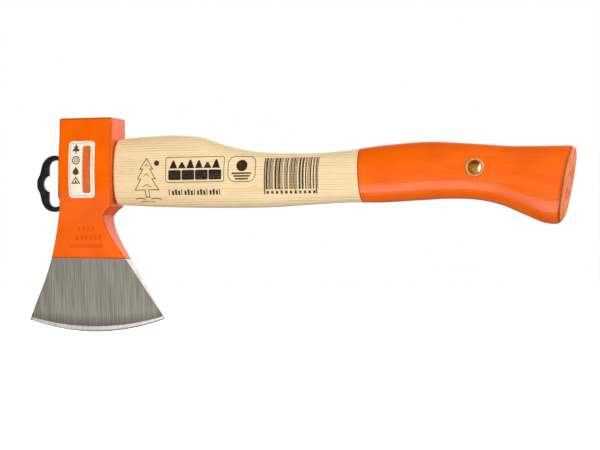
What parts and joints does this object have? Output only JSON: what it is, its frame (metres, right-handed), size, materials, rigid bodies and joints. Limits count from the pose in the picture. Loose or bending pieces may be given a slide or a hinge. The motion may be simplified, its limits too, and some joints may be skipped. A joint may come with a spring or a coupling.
{
  "type": "camping hatchet",
  "caption": "Short one-hand hatchet: flared forged head wedged on a curved wooden handle, with a hanging loop at the eye and a lanyard eyelet in the grip.",
  "frame": {"origin": "in the head's middle plane, under the middle of the whole length, at the level of the lowest point of the cutting edge", "axes": "+X along the handle from the head to the knob, +Y from the labelled cheek to the other cheek, +Z from the cutting edge up to the poll"},
  "size_m": [0.3894, 0.0293, 0.1481],
  "materials": {
    "head_lacquer": "orange lacquer on forged steel, blade ground bare",
    "handle_ash": "clear lacquered ash, grip dipped in orange lacquer",
    "wedge_wood": "raw hardwood",
    "wedge_steel": "plain turned steel",
    "hanger_plastic": "black moulded polypropylene",
    "screw_zinc": "zinc plated steel",
    "eyelet_brass": "drawn brass, slightly dulled",
    "label_foil": "printed white film"
  },
  "bodies": {
    "root": {"axe_head": "head_lacquer", "handle": "handle_ash", "wooden_wedge": "wedge_wood", "ring_wedge": "wedge_steel", "hanger": "hanger_plastic", "hanger_screw_upper": "screw_zinc", "hanger_screw_lower": "screw_zinc", "eyelet_barrel": "eyelet_brass", "eyelet_ring": "eyelet_brass", "cheek_label": "label_foil"}
  },
  "joints": []
}
